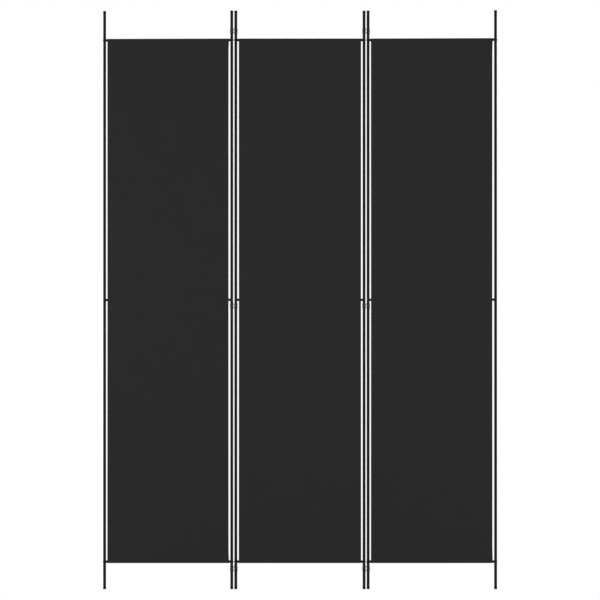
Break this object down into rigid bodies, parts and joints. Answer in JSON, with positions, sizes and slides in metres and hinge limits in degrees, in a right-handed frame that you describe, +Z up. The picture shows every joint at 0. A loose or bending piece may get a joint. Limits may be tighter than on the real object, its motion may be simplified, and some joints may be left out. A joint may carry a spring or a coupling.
{
  "type": "folding room divider screen",
  "caption": "Free-standing folding screen of tall cloth-covered tube panels, joined by double-pivot hinge clips so that the wings fold flat on the centre panel.",
  "frame": {"origin": "on the floor under the middle of the centre panel", "axes": "+Z up, +X to the right along the centre panel as seen from the front, +Y to the back; the front faces -Y"},
  "size_m": [1.4998, 0.1322, 2.2],
  "materials": {
    "frame_coat": "satin",
    "cloth": "matte",
    "cap_plastic": "matte",
    "hinge_plastic": "matte",
    "bolt_coat": "satin",
    "plug_steel": "satin"
  },
  "bodies": {
    "left_panel": {"left_bar_bolts": "bolt_coat", "left_bar_plugs": "plug_steel", "left_bottom_bar": "frame_coat", "left_fabric": "cloth", "left_left_foot": "cap_plastic", "left_left_lower_post": "frame_coat", "left_left_middle_tee": "frame_coat", "left_left_top_cap": "cap_plastic", "left_left_upper_post": "frame_coat", "left_middle_bar": "frame_coat", "left_right_foot": "cap_plastic", "left_right_lower_post": "frame_coat", "left_right_middle_tee": "frame_coat", "left_right_top_cap": "cap_plastic", "left_right_upper_post": "frame_coat", "left_top_bar": "frame_coat"},
    "centre_panel": {"centre_bar_bolts": "bolt_coat", "centre_bar_plugs": "plug_steel", "centre_bottom_bar": "frame_coat", "centre_fabric": "cloth", "centre_left_foot": "cap_plastic", "centre_left_lower_post": "frame_coat", "centre_left_middle_tee": "frame_coat", "centre_left_top_cap": "cap_plastic", "centre_left_upper_post": "frame_coat", "centre_middle_bar": "frame_coat", "centre_right_foot": "cap_plastic", "centre_right_lower_post": "frame_coat", "centre_right_middle_tee": "frame_coat", "centre_right_top_cap": "cap_plastic", "centre_right_upper_post": "frame_coat", "centre_top_bar": "frame_coat"},
    "right_panel": {"right_bar_bolts": "bolt_coat", "right_bar_plugs": "plug_steel", "right_bottom_bar": "frame_coat", "right_fabric": "cloth", "right_left_foot": "cap_plastic", "right_left_lower_post": "frame_coat", "right_left_middle_tee": "frame_coat", "right_left_top_cap": "cap_plastic", "right_left_upper_post": "frame_coat", "right_middle_bar": "frame_coat", "right_right_foot": "cap_plastic", "right_right_lower_post": "frame_coat", "right_right_middle_tee": "frame_coat", "right_right_top_cap": "cap_plastic", "right_right_upper_post": "frame_coat", "right_top_bar": "frame_coat"},
    "left_hinge_clips": {"left_top_hinge": "hinge_plastic", "left_middle_hinge": "hinge_plastic", "left_bottom_hinge": "hinge_plastic"},
    "right_hinge_clips": {"right_top_hinge": "hinge_plastic", "right_middle_hinge": "hinge_plastic", "right_bottom_hinge": "hinge_plastic"}
  },
  "joints": [
    {"name": "left_clip_turn", "type": "hinge", "parent": "centre_panel", "child": "left_hinge_clips", "pos_m": [-0.24375, 0, 1.1], "axis": [0, 0, -1], "range_deg": [-3.5, 86.5]},
    {"name": "left_wing_fold", "type": "hinge", "parent": "left_hinge_clips", "child": "left_panel", "pos_m": [-0.25922, 0.00095, 1.1], "axis": [0, 0, -1], "range_deg": [-83.5, 86.5]},
    {"name": "right_clip_turn", "type": "hinge", "parent": "centre_panel", "child": "right_hinge_clips", "pos_m": [0.24375, 0, 1.1], "axis": [0, 0, -1], "range_deg": [-3.5, 86.5]},
    {"name": "right_wing_fold", "type": "hinge", "parent": "right_hinge_clips", "child": "right_panel", "pos_m": [0.25922, -0.00095, 1.1], "axis": [0, 0, -1], "range_deg": [-83.5, 86.5]}
  ]
}
